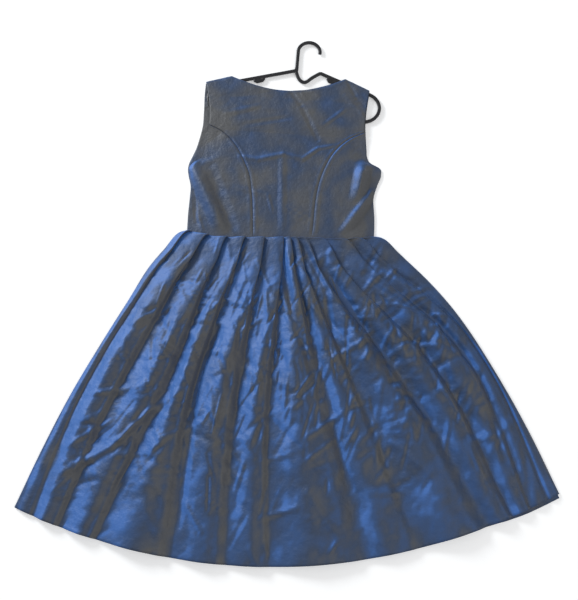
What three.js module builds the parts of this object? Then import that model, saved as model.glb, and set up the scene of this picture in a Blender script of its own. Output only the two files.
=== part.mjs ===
// A sleeveless dirndl dress, lying on its front on a table, back up, with a plain plastic coat hanger inside it.
// Millimetres, +X to the wearer's right as the dress lies, +Y from hem to neck, +Z up from the table.
// The panels are worked out about the middle of the waist seam, and the whole is centred at the end.
import * as THREE from "three";

// ---- cloth ----
const CLOTH = 1.4; // one layer of taffeta with its turned edges
const FRONT_CLOTH = 2.0; // the front layer, which lies pressed flat on the table
const SEAM_GAP = 0.3; // between neighbouring panels
const WAIST_GAP = 1.2; // between bodice and skirt, whose facets cut the waist's curve differently
const LAYER_GAP = 0.4; // between layers that lie on each other
const BACK_LEVEL = FRONT_CLOTH + LAYER_GAP + CLOTH / 2; // middle of the back layer where it touches the front

// ---- bodice ----
const SEAM_TOP = { left: 300, right: 278 }; // where the princess seams meet the armholes, above the waist
const TIP = { left: new THREE.Vector2(-193, 420), right: new THREE.Vector2(226, 394) }; // shoulder tips
const NECK = { left: new THREE.Vector2(-127, 437), right: new THREE.Vector2(164, 428), depth: 36 };
const FRONT_NECK_HEIGHT = 235; // bottom of the front neckline above the waist
const BODICE_PUFF = 5; // air between the bodice's front and back
const BODICE_ROWS = 11; // from the waist to the top of the princess seams
const SHOULDER_ROWS = [0.2, 0.4, 0.58, 0.74, 0.87, 1]; // shares of the way on up to the top edge
const CENTRE_SHARES = [0, 0.08, 0.157, 0.22, 0.3, 0.38, 0.46, 0.54, 0.62, 0.7, 0.78, 0.853, 0.92, 1];
const SIDE_SHARES = [0, 0.1, 0.22, 0.34, 0.46, 0.58, 0.7, 0.82, 0.92, 1];

// ---- skirt ----
const SKIRT_PUFF = 5; // air between the skirt's layers
const FRONT_GROOVE = 3.5; // height of the pressed grooves in the front skirt
const FRONT_PLEATS = 10;
const HEM_SHOWS = 9; // how far the front's hem shows below the back's at the right
const WAIST_RISE = 8; // how high the pleats stand just under the waist seam
const SKIRT_ROWS = [0, 0.012, 0.035, 0.08, 0.14, 0.21, 0.29, 0.38, 0.48, 0.59, 0.7, 0.81, 0.91, 1];
const FRONT_ROWS = [0, 0.05, 0.14, 0.29, 0.48, 0.7, 0.86, 1];
const KNEE = 0.45; // share of the skirt's length where the pleats have opened

// ---- hanger ----
const ROD = { width: 9.2, height: 6, chamfer: 1.8 };
const HANGER = { x: 39.5, y: 460, tilt: THREE.MathUtils.degToRad(-4.5) };
const HOOK = { stem: 51, radius: 28.4, sweep: THREE.MathUtils.degToRad(188) };
const ARM = { reach: 191, drop: 60, endRadius: 40, slope: THREE.MathUtils.degToRad(19) };
const BAR_DROP = ARM.drop + ARM.endRadius * (1 + Math.cos(ARM.slope));
const BAR_REACH = ARM.reach - ARM.endRadius * Math.sin(ARM.slope);
const DIP = { depth: 37, width: 50, crest: -8 }; // the neck's dip beside the stem, and the crest after it
const LUG = { width: 22, length: 7, height: 4 };
const ROD_GAP = 1.4; // between the hanger's pieces where they meet at an angle
const HANGER_LEVEL = FRONT_CLOTH + LAYER_GAP + ROD.height / 2;
const TENT_AIR = 1.6; // room left over the hanger, because the flat facets cut across its curves
const TENT = HANGER_LEVEL + ROD.height / 2 + TENT_AIR + CLOTH / 2; // middle of the back layer over the hanger

// The waist seam, from side to side.
const WAIST = [
  { x: -229, y: 18 },
  { x: -197, y: 10 },
  { x: -160, y: 2 },
  { x: -100, y: 0 },
  { x: 60, y: -2 },
  { x: 155, y: -6 },
  { x: 224, y: 0 },
];

// Side and armhole edges of the back and of the front layer, by height above the waist.
const BODICE_SIDES = [
  { up: 0, backLeft: -229, frontLeft: -229, backRight: 224, frontRight: 223 },
  { up: 57, backLeft: -227, frontLeft: -228, backRight: 228, frontRight: 227 },
  { up: 104, backLeft: -224, frontLeft: -225, backRight: 228, frontRight: 227 },
  { up: 136, backLeft: -223, frontLeft: -224, backRight: 238, frontRight: 237 },
  { up: 164, backLeft: -229, frontLeft: -230, backRight: 248, frontRight: 247 },
  { up: 182, backLeft: -230, frontLeft: -232, backRight: 245, frontRight: 246 },
  { up: 198, backLeft: -219, frontLeft: -229, backRight: 219, frontRight: 221 },
  { up: 212, backLeft: -200, frontLeft: -223, backRight: 213, frontRight: 215 },
  { up: 234, backLeft: -192, frontLeft: -214, backRight: 212, frontRight: 214 },
  { up: 267, backLeft: -186, frontLeft: -205, backRight: 211, frontRight: 213 },
  { up: 300, backLeft: -182, frontLeft: -198.5, backRight: 211, frontRight: 213 },
  { up: 335, backLeft: -181, frontLeft: -197, backRight: 215, frontRight: 216.5 },
  { up: 394, backLeft: -188, frontLeft: -196, backRight: 225, frontRight: 226 },
  { up: 420, backLeft: -193, frontLeft: -194, backRight: 229, frontRight: 230 },
];

// The two princess seams, by share of their height.
const PRINCESS = [
  { part: 0, left: -67, right: 70 },
  { part: 0.25, left: -69, right: 81 },
  { part: 0.42, left: -73, right: 88 },
  { part: 0.55, left: -79, right: 97 },
  { part: 0.67, left: -92, right: 110 },
  { part: 0.79, left: -110, right: 129 },
  { part: 0.88, left: -130, right: 151 },
  { part: 0.95, left: -153, right: 178 },
  { part: 1, left: -182, right: 211 },
];

// Side edges of the skirt, and how far the middle of each row lies below the waist seam.
const SKIRT_SECTIONS = [
  { part: 0, drop: 0, leftX: -229, leftY: 18, rightX: 224, rightY: 0 },
  { part: 0.08, drop: 60, leftX: -263, leftY: -8, rightX: 262, rightY: -20 },
  { part: 0.172, drop: 130, leftX: -311, leftY: -66, rightX: 313, rightY: -68 },
  { part: 0.305, drop: 230, leftX: -362, leftY: -157, rightX: 372, rightY: -132 },
  { part: 0.464, drop: 350, leftX: -416, leftY: -254, rightX: 432, rightY: -214 },
  { part: 0.636, drop: 480, leftX: -481, leftY: -378, rightX: 500, rightY: -334 },
  { part: 0.821, drop: 620, leftX: -539, leftY: -508, rightX: 564, rightY: -466 },
  { part: 1, drop: 755, leftX: -588, leftY: -631, rightX: 620, rightY: -602 },
];

// Pleats of the back skirt: where each folded edge runs, as a share of the width at the waist, the knee and the
// hem, how far it laps over the next at the waist, how high it stands at the knee and the hem, and where on its
// face the crest is.
const PLEATS = [
  { waist: 0.035, knee: 0.02, hem: 0.035, lap: 3, rise: 5, hemRise: 5, crest: 0.6 },
  { waist: 0.13, knee: 0.1, hem: 0.085, lap: 7, rise: 17, hemRise: 12, crest: 0.55 },
  { waist: 0.227, knee: 0.205, hem: 0.155, lap: 8, rise: 22, hemRise: 14, crest: 0.72 },
  { waist: 0.322, knee: 0.27, hem: 0.29, lap: 8, rise: 20, hemRise: 17, crest: 0.6 },
  { waist: 0.42, knee: 0.385, hem: 0.39, lap: 8, rise: 24, hemRise: 12, crest: 0.74 },
  { waist: 0.516, knee: 0.468, hem: 0.47, lap: 9, rise: 18, hemRise: 9, crest: 0.7 },
  { waist: 0.548, knee: 0.6, hem: 0.645, lap: 1, rise: 20, hemRise: 15, crest: 0.62 },
  { waist: 0.58, knee: 0.675, hem: 0.74, lap: 1, rise: 13, hemRise: 9, crest: 0.5 },
  { waist: 0.613, knee: 0.785, hem: 0.865, lap: 8, rise: 26, hemRise: 17, crest: 0.7 },
  { waist: 0.709, knee: 0.87, hem: 0.91, lap: 8, rise: 20, hemRise: 11, crest: 0.6 },
  { waist: 0.817, knee: 0.95, hem: 0.945, lap: 8, rise: 19, hemRise: 8, crest: 0.55 },
  { waist: 0.896, knee: 0.985, hem: 0.978, lap: 6, rise: 8, hemRise: 5, crest: 0.5 },
  { waist: 1, knee: 1, hem: 1, lap: 0, rise: 5, hemRise: 4, crest: 0.4 },
];

// Large folds of the bodice back: a soft ridge (or, below zero, a trough) along each line.
const BODICE_FOLDS = [
  { fromX: -222, fromY: 190, toX: -140, toY: 15, width: 30, height: 13 }, // side rolled up on the left
  { fromX: -178, fromY: 185, toX: -118, toY: 25, width: 26, height: -5 }, // hollow beside it
  { fromX: 205, fromY: 185, toX: 188, toY: 105, width: 26, height: 12 }, // right side folded over
  { fromX: 222, fromY: 112, toX: 150, toY: 12, width: 20, height: 9 }, // its slanting lower edge
  { fromX: 3, fromY: 215, toX: 3, toY: 8, width: 26, height: 4 }, // pressed crease down the middle
  { fromX: -103, fromY: 212, toX: 135, toY: 242, width: 24, height: 4 }, // slack across the shoulder blades
];

const COLOURS = { shell: 0x3f5478, side: 0x4d5b73, front: 0x39465c, skirt: 0x2f5085, hanger: 0x141518 };

// ---- small helpers ----

// A smooth curve through a table's rows: gives every column at a value of the key column.
function through(rows, key) {
  const columns = Object.keys(rows[0]).filter((name) => name !== key);
  const curve = new THREE.CubicInterpolant(
    rows.map((row) => row[key]),
    rows.flatMap((row) => columns.map((name) => row[name])),
    columns.length,
  );
  return (at) => {
    const values = curve.evaluate(at);
    return Object.fromEntries(columns.map((name, i) => [name, values[i]]));
  };
}

function mix(a, b, t) {
  return a + (b - a) * t;
}

function smooth(from, to, value) {
  return THREE.MathUtils.smoothstep(value, from, to);
}

// Distance from (x, y) to a segment, and how far along it the nearest point is, 0 to 1.
function toSegment(x, y, ax, ay, bx, by) {
  const length2 = (bx - ax) ** 2 + (by - ay) ** 2;
  const t = THREE.MathUtils.clamp(((x - ax) * (bx - ax) + (y - ay) * (by - ay)) / length2, 0, 1);
  return { t, away: Math.hypot(x - mix(ax, bx, t), y - mix(ay, by, t)) };
}

const waistAt = through(WAIST, "x");
const sidesAt = through(BODICE_SIDES, "up");
const princessAt = through(PRINCESS, "part");
const sectionAt = through(SKIRT_SECTIONS, "part");

// ---- walls ----

// A closed wall from two grids of points of the same size, the upper over the lower, rows from low Y to high Y.
function closedWall(upper, lower) {
  const rows = upper.length;
  const cols = upper[0].length;
  const points = [...upper.flat(), ...lower.flat()];
  const over = (r, c) => r * cols + c;
  const under = (r, c) => rows * cols + r * cols + c;
  const faces = [];
  const quad = (a, b, c, d) => faces.push(a, b, c, a, c, d);
  for (let r = 0; r < rows - 1; r++) {
    for (let c = 0; c < cols - 1; c++) {
      quad(over(r, c), over(r, c + 1), over(r + 1, c + 1), over(r + 1, c));
      quad(under(r, c), under(r + 1, c), under(r + 1, c + 1), under(r, c + 1));
    }
    quad(over(r, 0), over(r + 1, 0), under(r + 1, 0), under(r, 0));
    quad(over(r, cols - 1), under(r, cols - 1), under(r + 1, cols - 1), over(r + 1, cols - 1));
  }
  for (let c = 0; c < cols - 1; c++) {
    quad(over(0, c), under(0, c), under(0, c + 1), over(0, c + 1));
    quad(over(rows - 1, c), over(rows - 1, c + 1), under(rows - 1, c + 1), under(rows - 1, c));
  }
  const geometry = new THREE.BufferGeometry().setFromPoints(points);
  geometry.setIndex(faces);
  geometry.computeVertexNormals();
  return geometry;
}

// A wall of even height about a grid of middle points.
function layer(grid, thickness) {
  const shifted = (dz) => grid.map((row) => row.map((p) => new THREE.Vector3(p.x, p.y, p.z + dz)));
  return closedWall(shifted(thickness / 2), shifted(-thickness / 2));
}

// Which way is out of the cloth at each point of a grid.
function outward(grid, r, c) {
  const across = grid[r][Math.min(c + 1, grid[r].length - 1)].clone().sub(grid[r][Math.max(c - 1, 0)]);
  const along = grid[Math.min(r + 1, grid.length - 1)][c].clone().sub(grid[Math.max(r - 1, 0)][c]);
  return across.cross(along).normalize();
}

// A wall of even thickness about a folded grid. Its waist row stands upright, to meet the bodice squarely.
function foldedLayer(grid, thickness) {
  const shifted = (by) =>
    grid.map((row, r) =>
      row.map((p, c) => {
        const out = r === grid.length - 1 ? new THREE.Vector3(0, 0, 1) : outward(grid, r, c);
        return p.clone().addScaledVector(out, by);
      }),
    );
  return closedWall(shifted(thickness / 2), shifted(-thickness / 2));
}

function piece(name, geometry, colour, roughness = 0.6) {
  const material = new THREE.MeshStandardMaterial({ color: colour, roughness, metalness: 0 });
  const mesh = new THREE.Mesh(geometry, material);
  mesh.name = name;
  return mesh;
}

// ---- bodice ----

// Lines of the hanger, in its own frame, that hold the back layer up like a tent.
const RIDGES = [-1, 1].flatMap((side) => [
  [0, 0, side * ARM.reach, -ARM.drop],
  [side * ARM.reach, -ARM.drop, side * (BAR_REACH + ARM.endRadius), -ARM.drop - ARM.endRadius],
  [side * (BAR_REACH + ARM.endRadius), -ARM.drop - ARM.endRadius, side * BAR_REACH, -BAR_DROP],
  [0, -BAR_DROP, side * BAR_REACH, -BAR_DROP],
]);

function tent(x, y) {
  const local = new THREE.Vector2(x - HANGER.x, y - HANGER.y).rotateAround(new THREE.Vector2(), -HANGER.tilt);
  const away = Math.min(...RIDGES.map((ridge) => toSegment(local.x, local.y, ...ridge).away));
  return 1 - smooth(26, 105, away);
}

function foldHeight(folds, x, y) {
  return folds.reduce((sum, fold) => {
    const { t, away } = toSegment(x, y, fold.fromX, fold.fromY, fold.toX, fold.toY);
    const across = 1 - smooth(0, fold.width, away);
    const ends = smooth(0, 0.15, t) * smooth(0, 0.1, 1 - t);
    return sum + fold.height * across * ends;
  }, 0);
}

// Middle height of the back layer at a point of the bodice. It comes down to the front at the sides and the waist.
function backHeight(x, y) {
  const sides = sidesAt(THREE.MathUtils.clamp(y, 0, TIP.left.y));
  const inward = Math.min(x - sides.backLeft, sides.backRight - x);
  const puff = BODICE_PUFF * smooth(-5, 50, inward);
  const folds = foldHeight(BODICE_FOLDS, x, y) * smooth(0, 30, y) * smooth(-4, 14, inward);
  const held = (TENT - BACK_LEVEL) * tent(x, y);
  return BACK_LEVEL + Math.max(puff + folds, held, 0);
}

// Top edge of the back above a point between the shoulder tips: shoulder seams and a round neckline.
function topEdge(x) {
  if (x < NECK.left.x) return mix(TIP.left.y, NECK.left.y, (x - TIP.left.x) / (NECK.left.x - TIP.left.x));
  if (x > NECK.right.x) return mix(NECK.right.y, TIP.right.y, (x - NECK.right.x) / (TIP.right.x - NECK.right.x));
  const t = (x - NECK.left.x) / (NECK.right.x - NECK.left.x);
  return mix(NECK.left.y, NECK.right.y, t) - 4 * NECK.depth * t * (1 - t);
}

// Rows of the back panels up to the armholes, as shares of the princess seams' height, closer near the top.
const backParts = Array.from({ length: BODICE_ROWS + 1 }, (_, i) => Math.sin(((i / BODICE_ROWS) * Math.PI) / 2));

// The four points where a row crosses the side edges and the princess seams.
function rowEnds(part) {
  const seam = princessAt(part);
  const waistSides = sidesAt(0);
  const leftUp = mix(waistAt(waistSides.backLeft).y, SEAM_TOP.left, part);
  const rightUp = mix(waistAt(waistSides.backRight).y, SEAM_TOP.right, part);
  return {
    sideLeft: new THREE.Vector2(sidesAt(Math.max(leftUp, 0)).backLeft, leftUp),
    seamLeft: new THREE.Vector2(seam.left, mix(waistAt(PRINCESS[0].left).y, SEAM_TOP.left, part)),
    seamRight: new THREE.Vector2(seam.right, mix(waistAt(PRINCESS[0].right).y, SEAM_TOP.right, part)),
    sideRight: new THREE.Vector2(sidesAt(Math.max(rightUp, 0)).backRight, rightUp),
  };
}

// A point of a back panel: straight across from one end of its row to the other, and along the waist at the bottom.
function backPoint(from, to, share, part) {
  const x = mix(from.x, to.x, share);
  const straight = mix(from.y, to.y, share);
  const bent = waistAt(x).y;
  const y = mix(bent, straight, smooth(0, 0.3, part)) + SEAM_GAP / 2;
  return new THREE.Vector3(x, y, backHeight(x, y));
}

function backCentre() {
  const lowerRows = backParts.map((part) => {
    const { seamLeft, seamRight } = rowEnds(part);
    return CENTRE_SHARES.map((share) => backPoint(seamLeft, seamRight, share, part));
  });
  const base = lowerRows.at(-1);
  const upperRows = SHOULDER_ROWS.map((rise) =>
    CENTRE_SHARES.map((share, c) => {
      const left = sidesAt(mix(SEAM_TOP.left, TIP.left.y, rise)).backLeft;
      const right = sidesAt(mix(SEAM_TOP.right, TIP.right.y, rise)).backRight;
      const x = mix(left, right, share);
      const y = mix(base[c].y, topEdge(x), rise);
      return new THREE.Vector3(x, y, backHeight(x, y));
    }),
  );
  return layer([...lowerRows, ...upperRows], CLOTH);
}

// A side panel keeps the seam gap to the centre panel, sideways at the waist and downwards too near the armhole.
function backSide(side) {
  const rows = backParts.slice(0, -1).map((part) => {
    const ends = rowEnds(part);
    const seam = side < 0 ? ends.seamLeft : ends.seamRight;
    seam.add(new THREE.Vector2(side, -part * part).multiplyScalar(SEAM_GAP));
    const [from, to] = side < 0 ? [ends.sideLeft, seam] : [seam, ends.sideRight];
    return SIDE_SHARES.map((share) => backPoint(from, to, share, part));
  });
  return layer(rows, CLOTH);
}

// Half of the front, flat on the table: waist, centre front, low neckline, shoulder seam, armhole and side seam.
function frontHalf(side) {
  const column = side < 0 ? "frontLeft" : "frontRight";
  const neck = side < 0 ? NECK.left : NECK.right;
  const tip = side < 0 ? TIP.left : TIP.right;
  const sideX = sidesAt(0)[column];
  const centreX = (side * SEAM_GAP) / 2;
  const outline = [];
  for (let i = 0; i <= 12; i++) {
    const x = mix(sideX, centreX, i / 12);
    outline.push(new THREE.Vector2(x, waistAt(x).y + SEAM_GAP / 2));
  }
  const neckline = new THREE.CubicBezierCurve(
    new THREE.Vector2(centreX, FRONT_NECK_HEIGHT),
    new THREE.Vector2(neck.x * 0.75, FRONT_NECK_HEIGHT - 5),
    new THREE.Vector2(neck.x * 0.78, FRONT_NECK_HEIGHT + 70),
    neck,
  );
  outline.push(...neckline.getPoints(10));
  for (let i = 0; i < 16; i++) {
    const up = mix(tip.y, waistAt(sideX).y, i / 16);
    outline.push(new THREE.Vector2(sidesAt(up)[column], up));
  }
  return new THREE.ExtrudeGeometry(new THREE.Shape(outline), { depth: FRONT_CLOTH, bevelEnabled: false });
}

// ---- skirt ----

// A point of the flat skirt: share across from the left edge, part of the way down from the waist.
function skirtPlan(across, part) {
  const row = sectionAt(part);
  const sag = row.drop + (row.leftY + row.rightY) / 2;
  const x = mix(row.leftX, row.rightX, across);
  const fanned = mix(row.leftY, row.rightY, across) - 4 * sag * across * (1 - across);
  const y = mix(waistAt(THREE.MathUtils.clamp(x, WAIST[0].x, WAIST.at(-1).x)).y, fanned, smooth(0, 0.12, part));
  return new THREE.Vector2(x, y - WAIST_GAP + SEAM_GAP);
}

const pleatPaths = PLEATS.map(({ waist, knee, hem }) =>
  through([{ part: 0, share: waist }, { part: KNEE, share: knee }, { part: 1, share: hem }], "part"),
);

// Where a pleat's folded edge runs, as a share of the row.
function edgeShare(index, part) {
  return index < 0 ? 0 : pleatPaths[index](part).share;
}

// How high a pleat stands at a part of the way down.
function pleatRise(pleat, part) {
  const opened = mix(WAIST_RISE, pleat.rise, smooth(0.02, KNEE, part));
  return mix(opened, pleat.hemRise, smooth(KNEE, 1, part)) * smooth(0, 0.015, part);
}

// Steps of one pleat's profile: along its face to the lip (FACE), then back under it to the next pleat's foot.
const FACE = 0.8;
const PLEAT_STEPS = [0, 0.14, 0.34, 0.56, FACE, 0.9];

function pleatPoint(index, step, part) {
  const pleat = PLEATS[index];
  const lapFades = smooth(0, 0.02, part) * (1 - smooth(0.05, 0.32, part));
  const width = sectionAt(part).rightX - sectionAt(part).leftX;
  const lapShare = (of) => (of < 0 ? 0 : (PLEATS[of].lap * lapFades) / width);
  const start = edgeShare(index - 1, part) - lapShare(index - 1) / 2;
  const edge = edgeShare(index, part);
  const slope = mix(0.04, 0.24, smooth(0.03, KNEE, part)) * (edge - start);
  const lip = edge - slope + lapShare(index) / 2;
  const foot = edge - lapShare(index) / 2;
  const onFace = Math.min(step / FACE, 1);
  const backUnder = Math.max((step - FACE) / (1 - FACE), 0);
  const across = backUnder > 0 ? mix(lip, foot, backUnder) : mix(start, lip, onFace);
  const crest = mix(0.95, pleat.crest, smooth(0.03, KNEE, part));
  const droop = 0.3 * smooth(crest, 1, onFace) * smooth(0.05, KNEE, part);
  const height = (smooth(0, crest, onFace) - droop) * (1 - smooth(0, 1, backUnder));
  const point = skirtPlan(across, part);
  const puff = SKIRT_PUFF * smooth(0, 0.06, across) * smooth(0, 0.06, 1 - across);
  const folded = BACK_LEVEL + puff + pleatRise(pleat, part) * height;
  const z = part === 0 ? backHeight(point.x, 0) : folded;
  return new THREE.Vector3(point.x, point.y, z);
}

function skirtBack() {
  const rows = SKIRT_ROWS.map((part) => {
    const row = PLEATS.flatMap((_, index) => PLEAT_STEPS.map((step) => pleatPoint(index, step, part)));
    return [...row, pleatPoint(PLEATS.length - 1, 1, part)];
  });
  return foldedLayer(rows.reverse(), CLOTH);
}

// The front skirt lies flat. Its pleats are pressed into narrow grooves, raised off the table.
function skirtFront() {
  const grooveShares = Array.from({ length: FRONT_PLEATS }, (_, i) => [i, i + 0.13, i + 0.87]).flat();
  const shares = [...grooveShares, FRONT_PLEATS].map((share) => share / FRONT_PLEATS);
  const rows = FRONT_ROWS.map((part) =>
    shares.map((across, c) => {
      const point = skirtPlan(across, part);
      const inGroove = c % 3 === 0 && c > 0 && c < shares.length - 1;
      const lift = inGroove ? FRONT_GROOVE * smooth(0, 0.1, part) : 0;
      const below = HEM_SHOWS * smooth(0.84, 0.95, across) * smooth(0.6, 1, part);
      return new THREE.Vector3(point.x, point.y - below, lift + FRONT_CLOTH / 2);
    }),
  );
  return layer(rows.reverse(), FRONT_CLOTH);
}

// ---- hanger ----

// The rod's section: a flat bar with its corners taken off.
function rodSection() {
  const w = ROD.width / 2;
  const h = ROD.height / 2;
  const c = ROD.chamfer;
  const corners = [
    [h, w - c],
    [h - c, w],
    [c - h, w],
    [-h, w - c],
    [-h, c - w],
    [c - h, -w],
    [h - c, -w],
    [h, c - w],
  ];
  return new THREE.Shape(corners.map(([x, y]) => new THREE.Vector2(x, y)));
}

// A rod along points in the hanger's plane, its two ends held back to leave a gap to its neighbours.
function rod(points, steps) {
  const curve = new THREE.CatmullRomCurve3(points.map(([x, y]) => new THREE.Vector3(x, y, 0)), false, "centripetal");
  return new THREE.ExtrudeGeometry(rodSection(), { steps, extrudePath: curve, bevelEnabled: false });
}

function arc(centreX, centreY, radius, fromAngle, toAngle, count) {
  return Array.from({ length: count + 1 }, (_, i) => {
    const angle = mix(fromAngle, toAngle, i / count);
    return [centreX + radius * Math.cos(angle), centreY + radius * Math.sin(angle)];
  });
}

function hangerPieces() {
  const half = ROD_GAP / 2;
  const crestX = DIP.width + 12;
  const hook = [
    [0, half],
    [0, HOOK.stem / 2],
    ...arc(HOOK.radius, HOOK.stem, HOOK.radius, Math.PI, Math.PI - HOOK.sweep, 14),
  ];
  const neck = [
    [0, -half],
    [3, -DIP.depth * 0.55],
    [DIP.width * 0.45, -DIP.depth],
    [DIP.width * 0.85, -DIP.depth * 0.7],
    [crestX - 8, DIP.crest - 2],
    [crestX - half, DIP.crest],
  ];
  const pieces = [
    ["hanger_hook", rod(hook, 26)],
    ["hanger_neck", rod(neck, 14)],
  ];
  const armStart = { left: [-ROD.width / 2 - ROD_GAP, -ROD.width], right: [crestX + 2 * ROD_GAP, DIP.crest - 2] };
  for (const [word, side] of [["left", -1], ["right", 1]]) {
    const [startX, startY] = armStart[word];
    const arm = [
      [startX, startY],
      [mix(startX, side * ARM.reach, 0.5), mix(startY, -ARM.drop, 0.5)],
      [side * (ARM.reach - ROD_GAP), -ARM.drop],
    ];
    const turn = arc(
      BAR_REACH, -ARM.drop - ARM.endRadius * Math.cos(ARM.slope), ARM.endRadius,
      Math.PI / 2 - ARM.slope, -Math.PI / 2, 10,
    );
    const end = turn.map(([x, y]) => [side * (x + half), y]);
    const lug = new THREE.BoxGeometry(LUG.width, LUG.length, LUG.height);
    const lugX = side * ARM.reach * 0.5;
    const onArm = mix(startY, -ARM.drop, (lugX - startX) / (side * ARM.reach - startX));
    lug.rotateZ(Math.atan2(-ARM.drop - startY, ARM.reach - Math.abs(startX)) * side);
    lug.translate(lugX, onArm - ROD.width / 2 - LUG.length / 2 - ROD_GAP, 0);
    pieces.push([`hanger_arm_${word}`, rod(arm, 6)], [`hanger_end_${word}`, rod(end, 14)]);
    pieces.push([`hanger_lug_${word}`, lug]);
  }
  const bar = [
    [-BAR_REACH + ROD_GAP, -BAR_DROP],
    [0, -BAR_DROP],
    [BAR_REACH - ROD_GAP, -BAR_DROP],
  ];
  pieces.push(["hanger_bar", rod(bar, 1)]);
  return pieces;
}

// ---- the whole ----

const dress = new THREE.Group();
dress.add(
  piece("bodice_back_centre", backCentre(), COLOURS.shell),
  piece("bodice_back_side_left", backSide(-1), COLOURS.side),
  piece("bodice_back_side_right", backSide(1), COLOURS.side),
  piece("bodice_front_left", frontHalf(-1), COLOURS.front),
  piece("bodice_front_right", frontHalf(1), COLOURS.front),
  piece("skirt_back", skirtBack(), COLOURS.skirt),
  piece("skirt_front", skirtFront(), COLOURS.front),
);

const hanger = new THREE.Group();
hanger.add(...hangerPieces().map(([name, geometry]) => piece(name, geometry, COLOURS.hanger, 0.35)));
hanger.position.set(HANGER.x, HANGER.y, HANGER_LEVEL);
hanger.rotation.z = HANGER.tilt;

// The origin is under the middle of the whole, on the table.
const laid = new THREE.Group().add(dress, hanger);
const middle = new THREE.Box3().setFromObject(laid, true).getCenter(new THREE.Vector3());
laid.position.set(-middle.x, -middle.y, 0);

const dirndl = new THREE.Group().add(laid);

export default dirndl;
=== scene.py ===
# A dirndl of shot taffeta, lying on its front on a pale table with its coat hanger inside, for Blender 4.5.
# Lengths in the tables are millimetres about the middle of the waist seam. metres() puts them in the frame.
import math
import random

import bmesh
import bpy
import numpy as np
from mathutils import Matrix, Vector, noise


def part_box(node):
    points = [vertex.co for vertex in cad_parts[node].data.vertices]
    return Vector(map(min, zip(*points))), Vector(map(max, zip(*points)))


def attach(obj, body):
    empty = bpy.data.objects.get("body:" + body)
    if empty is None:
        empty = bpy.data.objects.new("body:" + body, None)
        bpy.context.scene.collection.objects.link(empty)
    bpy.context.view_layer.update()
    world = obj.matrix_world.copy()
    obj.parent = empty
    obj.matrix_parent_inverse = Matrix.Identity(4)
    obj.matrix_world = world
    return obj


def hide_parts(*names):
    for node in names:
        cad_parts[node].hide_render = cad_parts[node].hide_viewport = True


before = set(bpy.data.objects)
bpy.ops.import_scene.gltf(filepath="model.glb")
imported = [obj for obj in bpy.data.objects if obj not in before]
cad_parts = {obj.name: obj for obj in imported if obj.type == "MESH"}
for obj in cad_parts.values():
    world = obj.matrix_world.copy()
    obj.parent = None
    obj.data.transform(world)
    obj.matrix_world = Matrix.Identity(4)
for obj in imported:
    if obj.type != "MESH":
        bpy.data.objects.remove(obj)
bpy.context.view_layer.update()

# ---- cloth ----
CLOTH = 0.8  # thickness of the taffeta with its turnings
FRONT_CLOTH = 1.6  # thickness of the front layer, which lies flat under the rest
SEAM_GAP = 0.3  # between neighbouring panels
WAIST_GAP = 0.9  # between the bodice and the skirt
LAYER = 2.0  # height of the front layer's solid
BACK_LEVEL = 3.1  # middle of the back layer where it touches the front
FOLD_ENDS = 0.55  # height of a fold at its two ends, as a share of its middle's
FOLD_FADE = 0.25  # share of its length over which a fold rises from each end
CRUMPLE_MEAN = 0.55  # about the mean of the noise, taken off so that crumples go up and down

# Crumples: height, size of a facet, seed, octaves.
BODICE_CRUMPLE = (1.3, 62, 3.7, 2)
FRONT_CRUMPLE = (0.15, 60, 5.5, 2)
SKIRT_CRUMPLES = [(4.5, 115, 1.3, 3), (1.6, 38, 2.2, 2)]
TONE_PATCHES = (0.5, 120, 9.1, 3)  # the same noise, in the cloth's tone instead of its height

# ---- tone of the shot taffeta, from 0 where it is bluest to 1 where it is greyest, with a painted sheen that makes it bluer towards the window lamp ----
TONE = 0.57  # of cloth that lies level
# Painted sheen: the cloth's tone is painted bluer where it leans towards the window lamp and greyer where it
# leans away.
PAINTED_SHEEN_TURN = 1.2  # how fast it turns as the cloth leans from the window
WINDOW = (-0.75, 0.66)  # which way the window lies, seen from above
PANEL_TONES = {"back": 0.16, "side": 0.2, "front": 0.2, "skirt_back": -0.05, "skirt_front": 0.1}

# ---- bodice ----
SEAM_TOP = {"left": 300.0, "right": 278.0}  # where the princess seams meet the armholes
TIP = {"left": (-193.0, 420.0), "right": (226.0, 394.0)}  # shoulder tips
NECK = {"left": (-127.0, 437.0), "right": (164.0, 428.0), "depth": 36.0}
NECK_ROLL = {"depth": 1.0, "width": 3.0}  # the back neckline's and shoulders' turned edge
FRONT_NECK_HEIGHT = 235.0  # bottom of the front neckline above the waist
FRONT_NECK_BEND = [(0.75, -5.0), (0.78, 70.0)]  # its bends: share of the neck's x, height over its bottom
BODICE_PUFF = 5.0  # air between the back and the front
PUFF_EDGE = (-5, 50)  # in from the side edges, where that air swells to its full height
FOLD_EDGE = (-4, 14)  # in from the side edges, where the folds rise
FOLD_WAIST = (0, 30)  # up from the waist, where the folds rise
CRUMPLE_WAIST = (0, 25)  # up from the waist, where the crumples rise
SEAM_WAIST = (0, 20)  # up from the waist, where the seams begin to show
SEAM_DIP = {"depth": 1.3, "width": 2.2}  # the cloth drawn down along a seam
TURNINGS = {"height": 0.8, "away": 7, "width": 4.5}  # the cloth swelling beside it
BACK_BEND = 0.3  # share of the seams' height over which rows turn from the waist's curve to straight
FRONT_BEND = 0.12  # the same for the front
SIDE_TOP = 0.99  # share of the seams' height where the side panels end
BACK_ROWS = 90
SHOULDER_ROWS = 46
CENTRE_COLUMNS = 150
SIDE_COLUMNS = 90
FRONT_GRID = (80, 60)

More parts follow.
